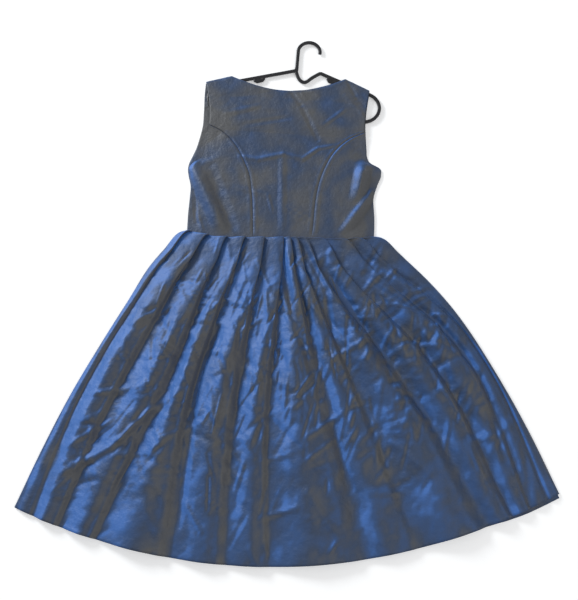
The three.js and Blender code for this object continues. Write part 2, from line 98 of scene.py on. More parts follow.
# ---- skirt ----
SKIRT_PUFF = 5.0  # air between the skirt's layers
SKIRT_BEND = 0.12  # part of the way down over which rows turn from the waist's curve to the hem's
SKIRT_EDGE = 0.06  # share of the width over which the skirt rises from its side edges
SKIRT_FREE = (0.01, 0.12)  # part of the way down where creases and crumples begin
LEAST_RISE = 0.6  # the back layer's least height over the front
WAIST_RISE = 8.5  # how high the pleats stand just under the waist seam
RISE_STARTS = 0.015  # part of the way down where they reach that height
KNEE = 0.45  # part of the way down where the pleats have opened
FACE = 0.8  # share of a pleat's points on its face, the rest being turned under
LAP_STARTS = (0, 0.02)  # part of the way down where a pleat comes to lap over the next
LAP_ENDS = (0.05, 0.32)  # and where it no longer does
LIP_BACK = (0.03, 0.2)  # how far the lip stands back from the edge, at the waist and from the knee on
WAIST_CREST = 0.95  # where the crest is on a face at the waist
DROOP = 0.3  # how far a face sinks from its crest to its lip
SHAPE_STARTS = 0.03  # part of the way down where the lip and the crest start to shift
OPENING_STARTS = 0.02  # where the pleats start to open
DROOP_STARTS = 0.05  # where the faces start to sink
SKIRT_ROWS = 150
ROW_SPACING = 1.25  # above 1, the rows are closer near the waist
SKIRT_COLUMNS = 320  # over the whole width
PLEAT_COLUMNS = 12  # the least in one pleat
CREASE_SHARPNESS = 0.8  # of the small creases, below 1 for a flatter top
FAN_CENTRE = 900  # how far above the waist the skirt's lines would meet
CREASE_TURN = 0.75  # how far the small creases turn from those lines, in radians
FRONT_PLEATS = 10
FRONT_GROOVE = 3.5  # height of the pressed grooves in the front skirt
GROOVE_WIDTH = 0.13  # half of one, as a share of a pleat
GROOVE_STARTS = 0.1  # part of the way down where they reach that height
GROOVED = (0.04, 0.96)  # share of the width that has them
HEM_SHOWS = 9.0  # how far the front's hem shows below the back's at the right
HEM_SHOWS_ACROSS = (0.84, 0.95)
HEM_SHOWS_DOWN = (0.6, 1)
SKIRT_FRONT_GRID = (80, 241)

# ---- hanger ----
ROD = {"width": 9.2, "height": 6.0, "sides": 14, "squareness": 0.62}
HANGER = {"x": 39.5, "y": 460.0, "tilt": math.radians(-4.5), "level": 5.4}
HOOK = {"root": -4, "stem": 51.0, "radius": 28.4, "sweep": math.radians(188), "points": 30}
ARM = {"reach": 191.0, "drop": 60.0, "end": 40.0, "slope": math.radians(19), "points": 22}
BAR_DROP = ARM["drop"] + ARM["end"] * (1 + math.cos(ARM["slope"]))
BAR_REACH = ARM["reach"] - ARM["end"] * math.sin(ARM["slope"])
BAR_OVERLAP = 1  # how far the bars run into each other where they are fused
DIP = {"depth": 37.0, "width": 50.0, "crest": -8.0, "rise": 12.0, "points": 44}
DIP_SHAPE = [(0.2, 0.85), (0.5, 1.0), (0.85, 0.6)]  # shares of the dip's width and depth along the neck
NECK_STEM = (6, -10)  # where the neck starts, inside the hook's stem, and where it leaves it
LEFT_ARM_START = (0.0, -5.0)
LUG = [(-10, -1), (-11, -7.5), (-7, -10.5), (7, -10.5), (11, -7.5), (10, -1)]  # strap lug, from its arm
TENT = 10.7  # middle of the back layer over the hanger
TENT_SPREAD = (14, 105)  # out from the hanger, where the cloth over it slopes down
FUSE_VOXEL = 0.0011  # metres

# From the back skirt's low corner to the middle of the waist seam, in metres.
WAIST_FROM_CORNER = (0.588, 0.7559)
skirt_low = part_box("skirt_back")[0]
ORIGIN = np.array([skirt_low[0] + WAIST_FROM_CORNER[0], skirt_low[1] + WAIST_FROM_CORNER[1], 0.0])
PER_METRE = 1000.0
TINY = 1e-9  # keeps a length that is divided by above zero


def metres(points):
    return np.asarray(points, dtype=float) / PER_METRE + ORIGIN


# ---- tables ----
WAIST = [(-229, 18), (-197, 10), (-160, 2), (-100, 0), (60, -2), (155, -6), (224, 0)]

# Height above the waist, then the side edges: back left, front left, back right, front right.
SIDES = [
    (0, -229, -229, 224, 223),
    (57, -227, -228, 228, 227),
    (104, -224, -225, 228, 227),
    (136, -223, -224, 238, 237),
    (164, -229, -230, 248, 247),
    (182, -230, -232, 245, 246),
    (198, -219, -229, 219, 221),
    (212, -200, -223, 213, 215),
    (234, -192, -214, 212, 214),
    (267, -186, -205, 211, 213),
    (300, -182, -198.5, 211, 213),
    (335, -181, -197, 215, 216.5),
    (394, -188, -196, 225, 226),
    (420, -193, -194, 229, 230),
]

# Share of the princess seams' height, then the left and the right seam.
PRINCESS = [
    (0, -67, 70),
    (0.25, -69, 81),
    (0.42, -73, 88),
    (0.55, -79, 97),
    (0.67, -92, 110),
    (0.79, -110, 129),
    (0.88, -130, 151),
    (0.95, -153, 178),
    (1, -182, 211),
]

# Part of the way down the skirt, drop of its middle, then left x, left y, right x, right y.
SECTIONS = [
    (0, 0, -229, 18, 224, 0),
    (0.08, 60, -263, -8, 262, -20),
    (0.172, 130, -311, -66, 313, -68),
    (0.305, 230, -362, -157, 372, -132),
    (0.464, 350, -416, -254, 432, -214),
    (0.636, 480, -481, -378, 500, -334),
    (0.821, 620, -539, -508, 564, -466),
    (1, 755, -588, -631, 620, -602),
]

# Pleats: share across at the waist, the knee and the hem, how far each laps over the next, rise at the knee
# and the hem, and where on its face the crest is.
PLEATS = [
    (0.035, 0.02, 0.035, 3, 5, 5, 0.6),
    (0.13, 0.1, 0.085, 7, 17, 12, 0.55),
    (0.227, 0.205, 0.155, 8, 22, 14, 0.72),
    (0.322, 0.27, 0.29, 8, 20, 17, 0.6),
    (0.42, 0.385, 0.39, 8, 24, 12, 0.74),
    (0.516, 0.468, 0.47, 9, 18, 9, 0.7),
    (0.548, 0.6, 0.645, 1, 20, 15, 0.62),
    (0.58, 0.675, 0.74, 1, 13, 9, 0.5),
    (0.613, 0.785, 0.865, 8, 26, 17, 0.7),
    (0.709, 0.87, 0.91, 8, 20, 11, 0.6),
    (0.817, 0.95, 0.945, 8, 19, 8, 0.55),
    (0.896, 0.985, 0.978, 6, 8, 5, 0.5),
    (1, 1, 1, 0, 5, 4, 0.4),
]

# Folds of the bodice back: from x, y, to x, y, half width, height.
BODICE_FOLDS = [
    (-222, 190, -140, 15, 26, 13),
    (-178, 185, -118, 25, 22, -5),
    (205, 185, 188, 105, 24, 12),
    (222, 112, 150, 12, 16, 9),
    (3, 215, 3, 8, 14, 2.4),
    (-103, 212, -58, 204, 9, 2.2),
    (-58, 204, 4, 218, 10, 2.6),
    (4, 218, 54, 206, 9, 2.2),
    (54, 206, 92, 234, 9, 2.4),
    (92, 234, 135, 242, 8, 1.8),
    (25, 394, 50, 354, 9, -2.2),
    (50, 354, 92, 259, 10, -2.6),
    (171, 420, 193, 371, 9, -2.4),
    (193, 371, 216, 348, 8, -2.0),
    (163, 380, 215, 317, 9, 2.0),
    (-114, 131, -32, 107, 8, 1.6),
    (-32, 107, -22, 68, 7, 1.5),
    (17, 78, 73, 39, 8, 1.6),
    (48, 394, 62, 372, 6, 1.4),
    (74, 396, 96, 380, 6, 1.3),
    (-140, 330, -60, 350, 12, 1.6),
    (-90, 300, 20, 318, 11, -1.5),
    (110, 300, 160, 340, 9, 1.6),
    (-205, 60, -190, 18, 7, 2.0),
    (-215, 120, -206, 40, 8, -2.2),
]

# Creases of the skirt, besides its pleats: from x, y, to x, y, half width, height.
SKIRT_CREASES = [
    (-143, -229, -183, -317, 16, -7),
    (-183, -317, -197, -380, 16, -7),
    (-197, -380, -200, -444, 15, -6),
    (-200, -444, -224, -669, 14, -5),
    (-89, -212, -97, -275, 13, -5),
    (-97, -275, -100, -433, 12, -5),
    (-274, -403, -354, -485, 15, 8),
    (-354, -485, -478, -555, 15, 7),
    (-290, -425, -366, -503, 10, -6),
    (-332, -527, -368, -592, 8, -4),
    (2, -23, 26, -198, 13, -5),
    (26, -198, 61, -291, 13, -6),
    (61, -291, 93, -392, 14, -6),
    (93, -392, 156, -592, 15, -6),
    (10, -15, 55, -222, 12, 4),
    (82, -336, 136, -555, 14, 5),
    (51, -15, 108, -139, 12, -6),
    (108, -139, 120, -244, 12, -5),
    (104, -76, 187, -222, 20, -9),
    (187, -222, 289, -380, 20, -8),
    (289, -380, 341, -442, 18, -6),
    (168, -15, 215, -59, 14, -6),
    (215, -59, 323, -126, 14, -6),
    (202, -96, 364, -215, 16, -7),
    (364, -215, 464, -336, 16, -6),
    (464, -336, 501, -533, 15, -5),
    (548, -480, 555, -614, 14, -4),
    (-50, -330, 30, -372, 10, 4),
    (-160, -140, -60, -190, 9, 3),
    (-250, -210, -150, -290, 11, 4),
    (-300, -250, -190, -330, 10, -4),
    (-20, -150, 60, -260, 9, 3),
    (120, -300, 210, -250, 10, 4),
    (150, -420, 60, -480, 10, 4),
    (-40, -420, 60, -520, 10, -4),
    (-150, -520, -60, -600, 10, 3),
    (-420, -380, -300, -360, 10, 4),
    (-480, -500, -380, -440, 9, 3),
    (240, -480, 330, -560, 10, 3),
    (350, -330, 420, -450, 11, 4),
    (420, -500, 470, -600, 9, 3),
    (60, -600, 130, -700, 10, 3),
    (-300, -620, -260, -700, 10, 3),
]

# Small creases by chance, about three spots: how many, seed, middle and spread of the spot, and the ranges of
# length, half width and height.
CREASE_SPOTS = [
    (340, 11, (-30, -300, 190, 170), (20, 90), (4, 10), (1.0, 3.2)),
    (150, 12, (330, -330, 120, 130), (25, 90), (5, 11), (0.8, 2.4)),
    (150, 13, (-350, -420, 110, 130), (25, 90), (5, 11), (0.8, 2.4)),
]


# ---- helpers ----
def curve(rows, column):
    """A smooth curve through a table's column, against its first column."""
    xs = np.array([row[0] for row in rows], dtype=float)
    ys = np.array([row[column] for row in rows], dtype=float)
    slopes = np.gradient(ys, xs)

    def at(value):
        value = np.clip(value, xs[0], xs[-1])
        i = np.clip(np.searchsorted(xs, value, side="right") - 1, 0, len(xs) - 2)
        span = xs[i + 1] - xs[i]
        t = (value - xs[i]) / span
        rise = ys[i + 1] - ys[i]
        bend = (1 - t) * (slopes[i] * span - rise) + t * (rise - slopes[i + 1] * span)
        return ys[i] + t * rise + t * (1 - t) * bend

    return at


def mix(a, b, t):
    return a + (b - a) * t


def smooth(low, high, value):
    t = np.clip((np.asarray(value, dtype=float) - low) / (high - low), 0, 1)
    return t * t * (3 - 2 * t)


def to_segment(x, y, ax, ay, bx, by):
    length2 = (bx - ax) ** 2 + (by - ay) ** 2
    t = np.clip(((x - ax) * (bx - ax) + (y - ay) * (by - ay)) / length2, 0, 1)
    return t, np.hypot(x - mix(ax, bx, t), y - mix(ay, by, t))


def fold_height(folds, x, y, sharpness=1.0):
    """Sum of soft ridges and troughs, each along its own segment and lower at its two ends."""
    total = np.zeros_like(x)
    for from_x, from_y, to_x, to_y, half_width, height in folds:
        t, away = to_segment(x, y, from_x, from_y, to_x, to_y)
        across = np.clip(1 - away / half_width, 0, 1) ** sharpness
        ends = smooth(0, FOLD_FADE, t) * smooth(0, FOLD_FADE, 1 - t)
        total += height * across * across * (3 - 2 * across) * mix(FOLD_ENDS, 1, ends)
    return total


waist_y = curve(WAIST, 1)
back_left = curve(SIDES, 1)
front_left = curve(SIDES, 2)
back_right = curve(SIDES, 3)
front_right = curve(SIDES, 4)
seam_left = curve(PRINCESS, 1)
seam_right = curve(PRINCESS, 2)
section = [curve(SECTIONS, column) for column in range(1, 6)]


def crumple(x, y, height, size, seed, octaves):
    """Hard-edged noise: flat facets that meet in creases."""
    places = [Vector((a / size, b / size, seed)) for a, b in zip(x.ravel(), y.ravel())]
    facets = [noise.turbulence(place, octaves, True) for place in places]
    return height * (np.array(facets).reshape(x.shape) - CRUMPLE_MEAN)


def random_creases(count, seed, spot, length, half_width, height):
    """Short creases about a soft spot, thick in its middle and thin round it."""
    draw = random.Random(seed)
    rows = []
    for _ in range(count):
        x = draw.gauss(spot[0], spot[2])
        y = draw.gauss(spot[1], spot[3])
        fan = math.atan2(x, FAN_CENTRE + y) + draw.gauss(0, CREASE_TURN)
        reach = draw.uniform(*length)
        dx = math.sin(fan) * reach / 2
        dy = math.cos(fan) * reach / 2
        width = draw.uniform(*half_width)
        way = draw.choice((-1, 1))
        rows.append((x - dx, y - dy, x + dx, y + dy, width, way * draw.uniform(*height)))
    return rows


# ---- meshes ----
def grid_faces(rows, cols, offset, flip):
    r, c = np.meshgrid(np.arange(rows - 1), np.arange(cols - 1), indexing="ij")
    a = offset + r * cols + c
    quads = np.stack([a, a + 1, a + cols + 1, a + cols], axis=-1).reshape(-1, 4)
    return quads[:, ::-1] if flip else quads


def outward(middle):
    """Which way is out of the cloth at each point of a grid."""
    out = np.cross(np.gradient(middle, axis=1), np.gradient(middle, axis=0))
    return out / np.maximum(np.linalg.norm(out, axis=-1, keepdims=True), TINY)


def rim_faces(rows, cols):
    """The wall round the edge, between the upper grid and the lower."""
    edge = [(0, c) for c in range(cols - 1)] + [(r, cols - 1) for r in range(rows - 1)]
    edge += [(rows - 1, c) for c in range(cols - 1, 0, -1)] + [(r, 0) for r in range(rows - 1, 0, -1)]
    ring = [r * cols + c for r, c in edge]
    count = rows * cols
    return [(b, a, a + count, b + count) for a, b in zip(ring, ring[1:] + ring[:1])]


def run(middle, axis):
    """Length of the cloth along a grid's rows or columns, from their start."""
    start = np.take(middle, [0], axis=axis)
    return np.cumsum(np.linalg.norm(np.diff(middle, axis=axis, prepend=start), axis=-1), axis=axis)


def shell(name, middle, thickness, painted_sheen_and_tone):
    """A closed thin shell about a grid of middle points, rows from low Y to high Y."""
    rows, cols = middle.shape[:2]
    offset = outward(middle)
    upper = middle + offset * thickness / 2
    lower = middle - offset * thickness / 2
    top = grid_faces(rows, cols, 0, False)
    bottom = grid_faces(rows, cols, rows * cols, True)
    faces = np.concatenate([top, bottom, np.array(rim_faces(rows, cols))])
    points = metres(np.concatenate([upper.reshape(-1, 3), lower.reshape(-1, 3)]))
    mesh = bpy.data.meshes.new(name)
    mesh.from_pydata(points.tolist(), [], faces.tolist())
    mesh.polygons.foreach_set("use_smooth", [True] * len(mesh.polygons))
    across = run(middle, 1)
    cloth = np.stack([across - across[:, -1:] / 2, run(middle, 0)], axis=-1).reshape(-1, 2) / PER_METRE
    cloth = np.concatenate([cloth, cloth])
    loops = np.zeros(len(mesh.loops), dtype=np.int32)
    mesh.loops.foreach_get("vertex_index", loops)
    layer = mesh.uv_layers.new(name="cloth")
    layer.data.foreach_set("uv", cloth[loops].ravel())
    # Painted sheen with the cloth's tone, kept on the points for the material.
    shade = mesh.attributes.new("painted_sheen_and_tone", "FLOAT", "POINT")
    shade.data.foreach_set("value", np.concatenate([painted_sheen_and_tone.ravel(), painted_sheen_and_tone.ravel()]).astype(np.float32))
    mesh.update()
    piece = bpy.data.objects.new(name, mesh)
    bpy.context.scene.collection.objects.link(piece)
    return piece


def facing(middle):
    """How far each point of a grid leans towards the window lamp, from -1 to 1, which sets the painted sheen.
    """
    out = outward(middle)
    return out[..., 0] * WINDOW[0] + out[..., 1] * WINDOW[1]


# ---- bodice ----
RIDGES = [
    ridge
    for side in (-1, 1)
    for ridge in (
        (0, 0, side * ARM["reach"], -ARM["drop"]),
        (side * ARM["reach"], -ARM["drop"], side * (BAR_REACH + ARM["end"]), -ARM["drop"] - ARM["end"]),
        (side * (BAR_REACH + ARM["end"]), -ARM["drop"] - ARM["end"], side * BAR_REACH, -BAR_DROP),
        (0, -BAR_DROP, side * BAR_REACH, -BAR_DROP),
    )
]


def tent(x, y):
    dx = x - HANGER["x"]
    dy = y - HANGER["y"]
    local_x = dx * math.cos(HANGER["tilt"]) + dy * math.sin(HANGER["tilt"])
    local_y = -dx * math.sin(HANGER["tilt"]) + dy * math.cos(HANGER["tilt"])
    away = np.min([to_segment(local_x, local_y, *ridge)[1] for ridge in RIDGES], axis=0)
    return 1 - smooth(*TENT_SPREAD, away)


def back_height(x, y):
    inward = np.minimum(x - back_left(y), back_right(y) - x)
    puff = BODICE_PUFF * smooth(*PUFF_EDGE, inward)
    folds = fold_height(BODICE_FOLDS, x, y) * smooth(*FOLD_WAIST, y) * smooth(*FOLD_EDGE, inward)
    held = (TENT - BACK_LEVEL) * tent(x, y)
    return BACK_LEVEL + np.maximum(np.maximum(puff, held) + folds, 0)


def top_edge(x):
    """The back's top edge: two shoulder seams and a round neckline between them."""
    left = mix(TIP["left"][1], NECK["left"][1], (x - TIP["left"][0]) / (NECK["left"][0] - TIP["left"][0]))
    right_share = (x - NECK["right"][0]) / (TIP["right"][0] - NECK["right"][0])
    right = mix(NECK["right"][1], TIP["right"][1], right_share)
    t = (x - NECK["left"][0]) / (NECK["right"][0] - NECK["left"][0])
    round_neck = mix(NECK["left"][1], NECK["right"][1], t) - 4 * NECK["depth"] * t * (1 - t)
    return np.where(t < 0, left, np.where(t > 1, right, round_neck))


def row_ends(part):
    """The four points where a row crosses the side edges and the princess seams."""
    left_up = mix(float(waist_y(WAIST[0][0])), SEAM_TOP["left"], part)
    right_up = mix(float(waist_y(WAIST[-1][0])), SEAM_TOP["right"], part)
    seam_low = [float(waist_y(x)) for x in PRINCESS[0][1:]]
    return {
        "side_left": (back_left(left_up), left_up),
        "seam_left": (seam_left(part), mix(seam_low[0], SEAM_TOP["left"], part)),
        "seam_right": (seam_right(part), mix(seam_low[1], SEAM_TOP["right"], part)),
        "side_right": (back_right(right_up), right_up),
    }


def back_points(start, end, share, part):
    x = mix(start[0], end[0], share)
    y = mix(waist_y(x), mix(start[1], end[1], share), smooth(0, BACK_BEND, part)) + SEAM_GAP / 2
    return x, y


def seam_pinch(share, width, left_seam, right_seam):
    """Along a sewn seam the cloth is drawn down a little, and swells beside it where its turnings lie."""
    relief = np.zeros(np.broadcast(share, width).shape)
    for wanted, away in ((left_seam, share * width), (right_seam, (1 - share) * width)):
        if wanted:
            swell = ((away - TURNINGS["away"]) / TURNINGS["width"]) ** 2
            relief = relief - SEAM_DIP["depth"] * np.exp(-((away / SEAM_DIP["width"]) ** 2))
            relief = relief + TURNINGS["height"] * np.exp(-swell)
    return relief


def bodice_relief(x, y):
    return crumple(x, y, *BODICE_CRUMPLE) * smooth(*CRUMPLE_WAIST, y)


def dress_piece(name, x, y, z, thickness, tone):
    middle = np.stack([x, y, z], axis=-1)
    # Painted sheen: bluer where the cloth leans towards the window lamp; the noise patches and the panel's
    # tone are the cloth's own.
    painted_sheen_and_tone = TONE + tone - PAINTED_SHEEN_TURN * facing(middle) + crumple(x, y, *TONE_PATCHES)
    return shell(name, middle, thickness, np.clip(painted_sheen_and_tone, 0, 1))


def bodice_back_centre():
    """Between the princess seams up to the armholes, then from armhole to armhole up to the top edge."""
    part = np.sin(np.linspace(0, math.pi / 2, BACK_ROWS))[:, None]
    share = np.linspace(0, 1, CENTRE_COLUMNS)[None, :]
    ends = row_ends(part)
    low_x, low_y = back_points(ends["seam_left"], ends["seam_right"], share, part)
    rise = np.linspace(0, 1, SHOULDER_ROWS)[1:, None]
    left = back_left(mix(SEAM_TOP["left"], TIP["left"][1], rise))
    right = back_right(mix(SEAM_TOP["right"], TIP["right"][1], rise))
    high_x = mix(left, right, share)
    high_y = mix(low_y[-1][None, :], top_edge(high_x), rise)
    x = np.concatenate([low_x, high_x])
    y = np.concatenate([low_y, high_y])
    width = np.ptp(x, axis=1)[:, None]
    seams = np.concatenate([np.ones(low_x.shape), np.zeros(high_x.shape)])
    z = back_height(x, y) + bodice_relief(x, y)
    z += seam_pinch(share, width, True, True) * seams * smooth(*SEAM_WAIST, y)
    z -= NECK_ROLL["depth"] * np.exp(-(((top_edge(x) - y) / NECK_ROLL["width"]) ** 2))
    return dress_piece("bodice_back_centre_cloth", x, y, z, CLOTH, PANEL_TONES["back"])


def bodice_back_side(side):
    """From a princess seam to the side edge. The panel keeps the seam gap to the centre panel."""
    part = np.sin(np.linspace(0, math.pi / 2, BACK_ROWS))[:-1, None]
    part = np.minimum(part, SIDE_TOP)
    share = np.linspace(0, 1, SIDE_COLUMNS)[None, :]
    ends = row_ends(part)
    if side < 0:
        seam = (ends["seam_left"][0] - SEAM_GAP, ends["seam_left"][1] - SEAM_GAP * part * part)
        x, y = back_points(ends["side_left"], seam, share, part)
    else:
        seam = (ends["seam_right"][0] + SEAM_GAP, ends["seam_right"][1] - SEAM_GAP * part * part)
        x, y = back_points(seam, ends["side_right"], share, part)
    width = np.ptp(x, axis=1)[:, None]
    z = back_height(x, y) + bodice_relief(x, y)
    z += seam_pinch(share, width, side > 0, side < 0) * smooth(*SEAM_WAIST, y)
    word = "left" if side < 0 else "right"
    return dress_piece(f"bodice_back_side_{word}_cloth", x, y, z, CLOTH, PANEL_TONES["side"])


def bezier(controls, t):
    """A cubic curve's x and y."""
    weights = ((1 - t) ** 3, 3 * (1 - t) ** 2 * t, 3 * (1 - t) * t**2, t**3)
    return [sum(weight * control[axis] for weight, control in zip(weights, controls)) for axis in (0, 1)]


def bodice_front(side):
    """Half of the front, under the back: rows run from the side edge to the centre front and the neckline."""
    rows, columns = FRONT_GRID
    part = np.linspace(0, 1, rows)[:, None]
    share = np.linspace(0, 1, columns)[None, :]
    edge = front_left if side < 0 else front_right
    tip = TIP["left"] if side < 0 else TIP["right"]
    neck = NECK["left"] if side < 0 else NECK["right"]
    side_y = mix(float(waist_y(edge(0))), tip[1], part)
    centre_x = side * SEAM_GAP / 2
    bends = [(neck[0] * across, FRONT_NECK_HEIGHT + up) for across, up in FRONT_NECK_BEND]
    turn = np.clip(2 * part - 1, 0, 1)
    neck_x, neck_y = bezier([(centre_x, FRONT_NECK_HEIGHT), *bends, neck], turn)
    on_centre = part < 0.5
    inner_x = np.where(on_centre, centre_x, neck_x)
    inner_y = np.where(on_centre, mix(0.0, FRONT_NECK_HEIGHT, np.minimum(part * 2, 1)), neck_y)
    x = mix(edge(side_y), inner_x, share)
    y = mix(waist_y(x), mix(side_y, inner_y, share), smooth(0, FRONT_BEND, part)) + SEAM_GAP / 2
    if side > 0:
        x = x[:, ::-1]
        y = y[:, ::-1]
    z = LAYER / 2 + crumple(x, y, *FRONT_CRUMPLE)
    word = "left" if side < 0 else "right"
    return dress_piece(f"bodice_front_{word}_cloth", x, y, z, FRONT_CLOTH, PANEL_TONES["front"])


# ---- skirt ----
def skirt_plan(across, part):
    """A point of the flat skirt: share across from the left edge, part of the way down from the waist."""
    drop, left_x, left_y, right_x, right_y = [f(part) for f in section]
    sag = drop + (left_y + right_y) / 2
    x = mix(left_x, right_x, across)
    fanned = mix(left_y, right_y, across) - 4 * sag * across * (1 - across)
    return x, mix(waist_y(x), fanned, smooth(0, SKIRT_BEND, part)) - WAIST_GAP


def from_edges(across):
    """Rises from 0 at the skirt's side edges to 1 a little way in."""
    return smooth(0, SKIRT_EDGE, across) * smooth(0, SKIRT_EDGE, 1 - across)


def pleat_path(index):
    if index < 0:
        return lambda part: np.zeros_like(part)
    waist, knee, hem = PLEATS[index][:3]
    return curve([(0, waist), (KNEE, knee), (1, hem)], 1)


def pleat(index, step, part):
    """Share across and height of one pleat: over its face to the lip, then back under to the next foot."""
    lap, rise, hem_rise, crest_at = PLEATS[index][3:]
    lap_before = PLEATS[index - 1][3] if index > 0 else 0
    lap_fades = smooth(*LAP_STARTS, part) * (1 - smooth(*LAP_ENDS, part))
    width = section[3](part) - section[1](part)
    half_lap = lap * lap_fades / width / 2
    start = pleat_path(index - 1)(part) - lap_before * lap_fades / width / 2
    edge = pleat_path(index)(part)
    shift = smooth(SHAPE_STARTS, KNEE, part)
    lip = edge - mix(*LIP_BACK, shift) * (edge - start) + half_lap
    on_face = np.minimum(step / FACE, 1)
    under = np.maximum((step - FACE) / (1 - FACE), 0)
    across = np.where(under > 0, mix(lip, edge - half_lap, under), mix(start, lip, on_face))
    crest = mix(WAIST_CREST, crest_at, shift)
    droop = DROOP * smooth(0, 1, (on_face - crest) / (1 - crest)) * smooth(DROOP_STARTS, KNEE, part)
    height = (smooth(0, 1, on_face / crest) - droop) * (1 - smooth(0, 1, under))
    opened = mix(WAIST_RISE, rise, smooth(OPENING_STARTS, KNEE, part))
    stands = mix(opened, hem_rise, smooth(KNEE, 1, part)) * smooth(0, RISE_STARTS, part)
    return np.broadcast_arrays(across, stands * height)


def pleat_steps(index):
    """Evenly spaced steps over a pleat, more for a wide one."""
    before = PLEATS[index - 1][1] if index else 0
    count = max(PLEAT_COLUMNS, int(round(SKIRT_COLUMNS * (PLEATS[index][1] - before))))
    return (np.arange(count) / count)[None, :]


def skirt_back():
    part = (np.linspace(0, 1, SKIRT_ROWS) ** ROW_SPACING)[:, None]
    blocks = [pleat(index, pleat_steps(index), part) for index in range(len(PLEATS))]
    blocks.append(pleat(len(PLEATS) - 1, np.array([[1.0]]), part))
    across = np.concatenate([block[0] for block in blocks], axis=1)
    lift = np.concatenate([block[1] for block in blocks], axis=1)
    x, y = skirt_plan(across, part)
    inner = from_edges(across)
    chance = [row for spot in CREASE_SPOTS for row in random_creases(*spot)]
    creases = fold_height(SKIRT_CREASES, x, y) + fold_height(chance, x, y, CREASE_SHARPNESS)
    rough = sum(crumple(x, y, *row) for row in SKIRT_CRUMPLES)
    z = BACK_LEVEL + SKIRT_PUFF * inner + lift + (creases + rough) * inner * smooth(*SKIRT_FREE, part)
    z = np.maximum(z, BACK_LEVEL + LEAST_RISE * inner)
    z[0] = back_height(x[0], np.zeros_like(x[0]))
    return dress_piece("skirt_back_cloth", x[::-1], y[::-1], z[::-1], CLOTH, PANEL_TONES["skirt_back"])


def skirt_front():
    """The front skirt lies flat. Its pleats are pressed into narrow grooves, raised off the table."""
    rows, columns = SKIRT_FRONT_GRID
    part = np.linspace(0, 1, rows)[:, None]
    across = np.repeat(np.linspace(0, 1, columns)[None, :], rows, axis=0)
    x, y = skirt_plan(across, part)
    y = y - HEM_SHOWS * smooth(*HEM_SHOWS_ACROSS, across) * smooth(*HEM_SHOWS_DOWN, part)
    phase = np.abs(across * FRONT_PLEATS - np.round(across * FRONT_PLEATS))
    grooved = (across > GROOVED[0]) & (across < GROOVED[1])
    groove = FRONT_GROOVE * (1 - smooth(0, GROOVE_WIDTH, phase)) * smooth(0, GROOVE_STARTS, part)
    z = LAYER / 2 + groove * grooved
    tone = PANEL_TONES["skirt_front"]
    return dress_piece("skirt_front_cloth", x[::-1], y[::-1], z[::-1], FRONT_CLOTH, tone)


# ---- hanger ----
def squared(value):
    """Flattens a circle's sine or cosine towards a rounded square's."""
    return np.sign(value) * np.abs(value) ** ROD["squareness"]


def rod(points):
    """A rounded bar along points in the hanger's plane."""
    sides = ROD["sides"]
    points = np.array(points, dtype=float)
    tangent = np.gradient(points, axis=0)
    tangent /= np.linalg.norm(tangent, axis=1, keepdims=True)
    normal = np.stack([-tangent[:, 1], tangent[:, 0]], axis=1)
    angle = np.linspace(0, 2 * math.pi, sides, endpoint=False) + math.pi / sides
    wide = squared(np.cos(angle)) * ROD["width"] / 2
    high = squared(np.sin(angle)) * ROD["height"] / 2
    verts = [
        (p[0] + n[0] * w, p[1] + n[1] * w, h)
        for p, n in zip(points, normal)
        for w, h in zip(wide, high)
    ]
    faces = []
    for i in range(len(points) - 1):
        for j in range(sides):
            k = (j + 1) % sides
            faces.append((i * sides + j, i * sides + k, (i + 1) * sides + k, (i + 1) * sides + j))
    faces.append(tuple(range(sides)))
    faces.append(tuple((len(points) - 1) * sides + j for j in reversed(range(sides))))
    return verts, faces


def arc(centre_x, centre_y, radius, start, end, count):
    angles = np.linspace(start, end, count)
    return [(centre_x + radius * math.cos(a), centre_y + radius * math.sin(a)) for a in angles]


def spline(points, count):
    """Points along a smooth curve through a few given ones."""
    key = np.linspace(0, 1, len(points))
    xs = curve([(k, p[0]) for k, p in zip(key, points)], 1)
    ys = curve([(k, p[1]) for k, p in zip(key, points)], 1)
    return [(float(xs(t)), float(ys(t))) for t in np.linspace(0, 1, count)]


def hook_route():
    stem = [(0, HOOK["root"]), (0, HOOK["stem"] / 2)]
    turn = arc(HOOK["radius"], HOOK["stem"], HOOK["radius"], math.pi, math.pi - HOOK["sweep"], HOOK["points"])
    return stem + turn


def neck_route(crest_x):
    stem = [(0, up) for up in NECK_STEM]
    dip = [(DIP["width"] * across, -DIP["depth"] * down) for across, down in DIP_SHAPE]
    return spline(stem + dip + [(crest_x, DIP["crest"])], DIP["points"])


def arm_route(side, start):
    """An arm with its rounded end, down to the lower bar."""
    centre_y = -ARM["drop"] - ARM["end"] * math.cos(ARM["slope"])
    turn = arc(BAR_REACH, centre_y, ARM["end"], math.pi / 2 - ARM["slope"], -math.pi / 2, ARM["points"])
    halfway = (mix(start[0], side * ARM["reach"], 0.5), mix(start[1], -ARM["drop"], 0.5))
    return [start, halfway] + [(side * x, y) for x, y in turn]


def lug_route(side, start):
    """The strap lug under the middle of an arm, sloping with it."""
    x = side * ARM["reach"] * 0.5
    y = mix(start[1], -ARM["drop"], (x - start[0]) / (side * ARM["reach"] - start[0]))
    lean = -side * ARM["slope"]
    return [
        (x + a * math.cos(lean) - b * math.sin(lean), y + a * math.sin(lean) + b * math.cos(lean))
        for a, b in LUG
    ]


def hanger_routes():
    crest_x = DIP["width"] + DIP["rise"]
    routes = [hook_route(), neck_route(crest_x)]
    for side, start in ((-1, LEFT_ARM_START), (1, (crest_x - BAR_OVERLAP, DIP["crest"]))):
        routes += [arm_route(side, start), lug_route(side, start)]
    bar_end = BAR_REACH + BAR_OVERLAP
    return routes + [[(-bar_end, -BAR_DROP), (0, -BAR_DROP), (bar_end, -BAR_DROP)]]


